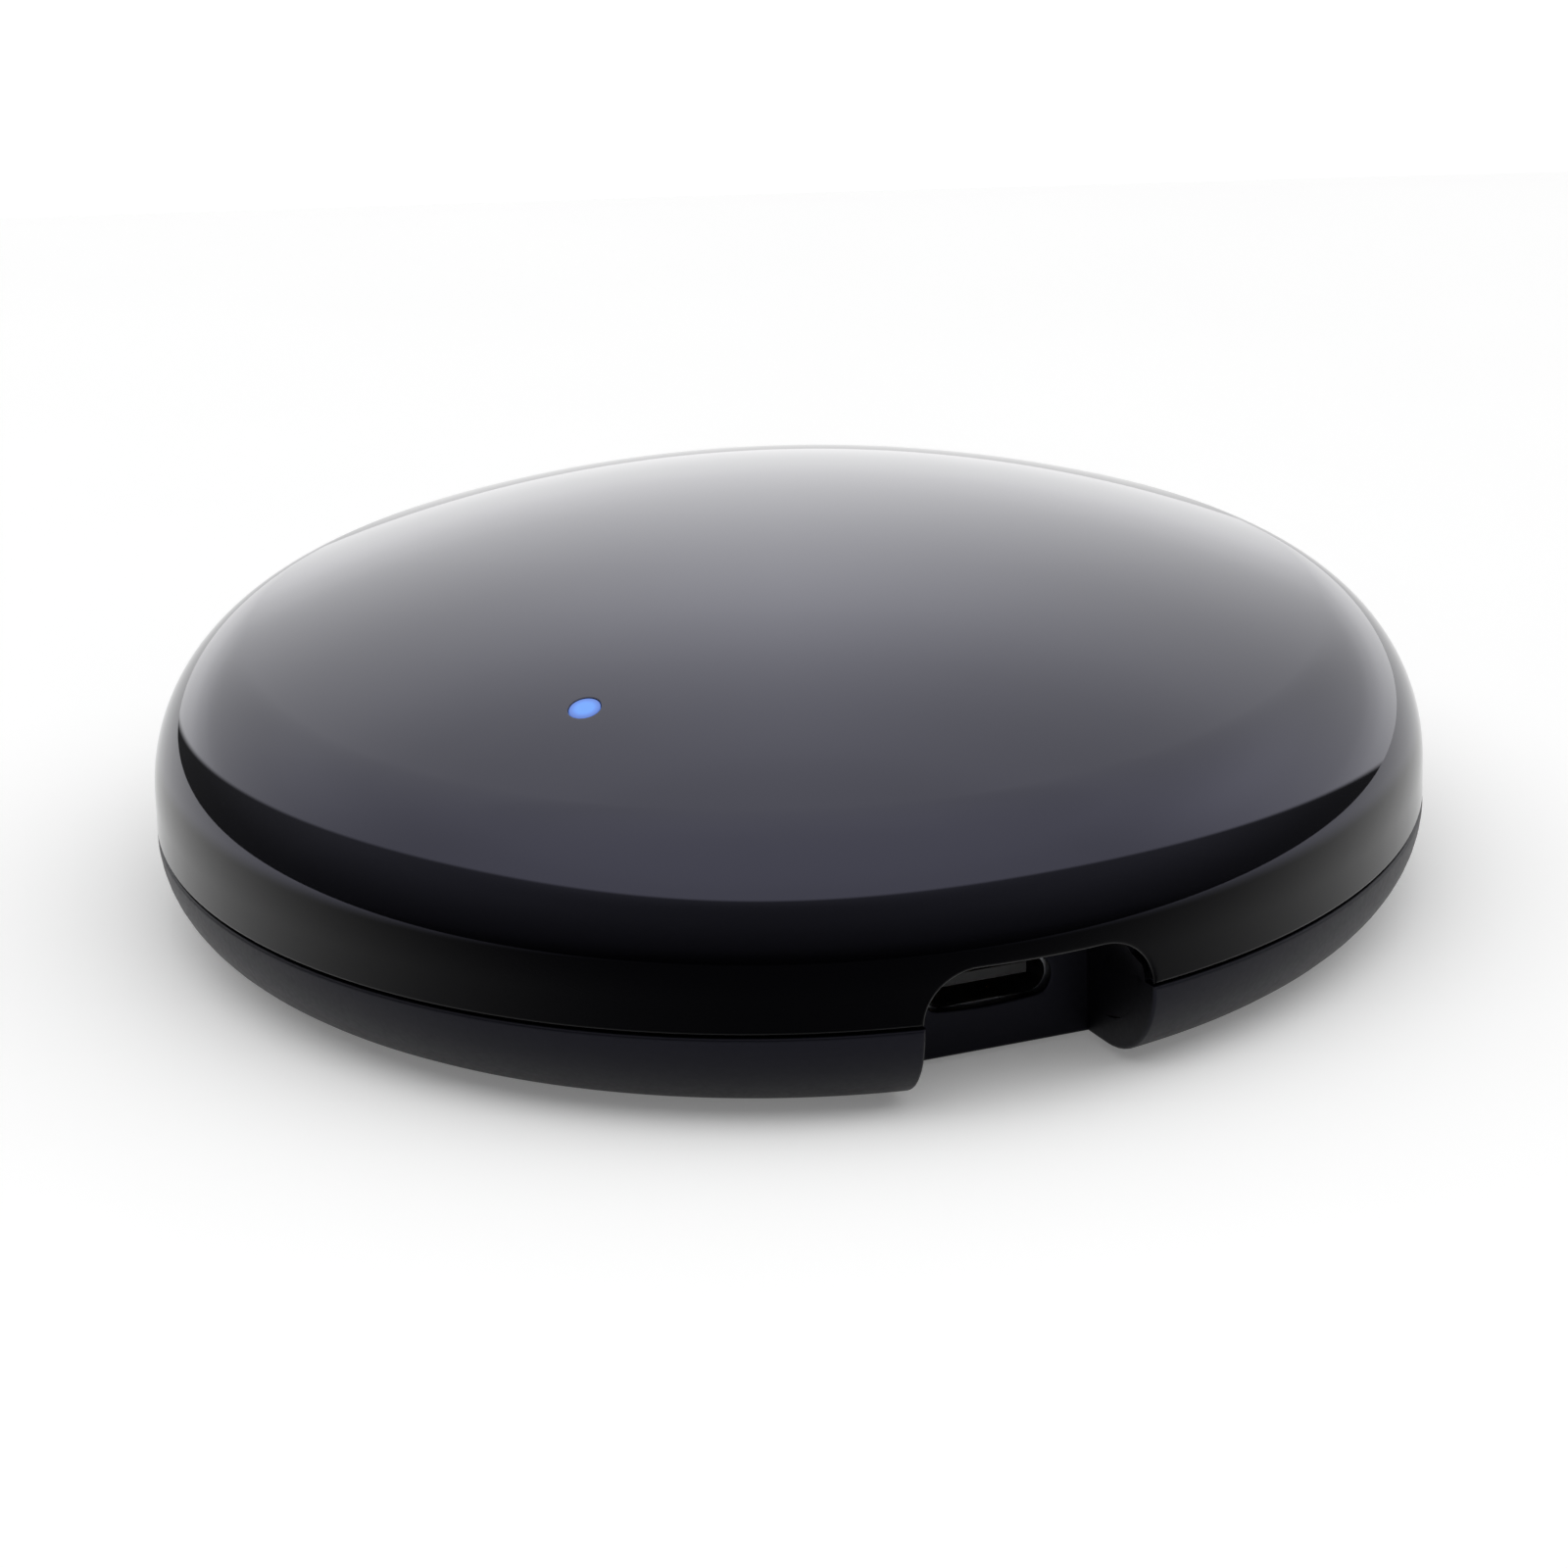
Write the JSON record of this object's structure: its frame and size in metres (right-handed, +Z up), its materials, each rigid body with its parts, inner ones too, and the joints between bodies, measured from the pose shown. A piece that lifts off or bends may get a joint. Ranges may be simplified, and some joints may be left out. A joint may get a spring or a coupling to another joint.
{
  "type": "smart infrared blaster",
  "caption": "Round black domed puck that sends remote control codes as infrared light; USB-C socket in an arched pocket, status light pipe, rubber foot ring and a reset button underneath.",
  "frame": {"origin": "centre of the round body on the standing surface, under the foot ring", "axes": "+Z up, the plug pocket faces -Y, +X to the right of someone who faces the pocket"},
  "size_m": [0.084, 0.084, 0.0257],
  "materials": {
    "cover_gloss_black": "polished, infrared-transparent",
    "base_satin_black": "fine satin texture",
    "rubber_black": "matt",
    "button_black": "satin",
    "screw_steel": "zinc plated",
    "shell_steel": "nickel plated sheet",
    "tinned_lead": "bright tin",
    "gold_contact": "gold plated",
    "moulded_insulator": "fine moulded",
    "light_pipe_clear": "clear acrylic, lit blue",
    "board_green": "solder mask",
    "board_blue": "solder mask",
    "epoxy_violet": "dark infrared epoxy",
    "chip_black": "moulded epoxy",
    "chip_ceramic": "fired",
    "chip_white": "moulded",
    "can_aluminium": "drawn"
  },
  "bodies": {
    "housing": {"top_cover": "cover_gloss_black", "bottom_cover": "base_satin_black", "foot_ring": "rubber_black", "case_screws": "screw_steel", "light_pipe": "light_pipe_clear", "main_board": "board_green", "board_screws": "screw_steel", "usb_shell": "shell_steel", "usb_tongue": "moulded_insulator", "usb_contacts": "gold_contact", "ir_receiver": "epoxy_violet", "receiver_leads": "tinned_lead", "wifi_board": "board_blue", "wifi_shield": "shell_steel", "switch_base": "moulded_insulator", "switch_cover": "shell_steel", "switch_leads": "tinned_lead", "status_led": "chip_white", "regulator": "chip_black", "regulator_leads": "tinned_lead", "bulk_capacitor": "can_aluminium", "capacitor_base": "chip_black", "driver_transistors": "chip_black", "driver_leads": "tinned_lead", "chip_resistors": "chip_black", "chip_capacitors": "chip_ceramic", "ir_led_1": "epoxy_violet", "ir_led_2": "epoxy_violet", "ir_led_3": "epoxy_violet", "ir_led_4": "epoxy_violet", "ir_led_5": "epoxy_violet", "ir_led_6": "epoxy_violet", "ir_led_7": "epoxy_violet", "ir_led_8": "epoxy_violet", "ir_leads_1": "tinned_lead", "ir_leads_2": "tinned_lead", "ir_leads_3": "tinned_lead", "ir_leads_4": "tinned_lead", "ir_leads_5": "tinned_lead", "ir_leads_6": "tinned_lead", "ir_leads_7": "tinned_lead", "ir_leads_8": "tinned_lead"},
    "reset_button": {"reset_button": "button_black"},
    "switch_plunger": {"switch_plunger": "button_black"}
  },
  "joints": [
    {"name": "reset_press", "type": "slide", "parent": "housing", "child": "reset_button", "axis": [0, 0, 1], "range_m": [0, 0.00025], "stiffness_N_per_m": 6400},
    {"name": "plunger_press", "type": "slide", "parent": "housing", "child": "switch_plunger", "axis": [0, 0, 1], "range_m": [0, 0.00025]}
  ],
  "couplings": [
    {"joint": "plunger_press", "follows": "reset_press", "ratio": 1}
  ]
}
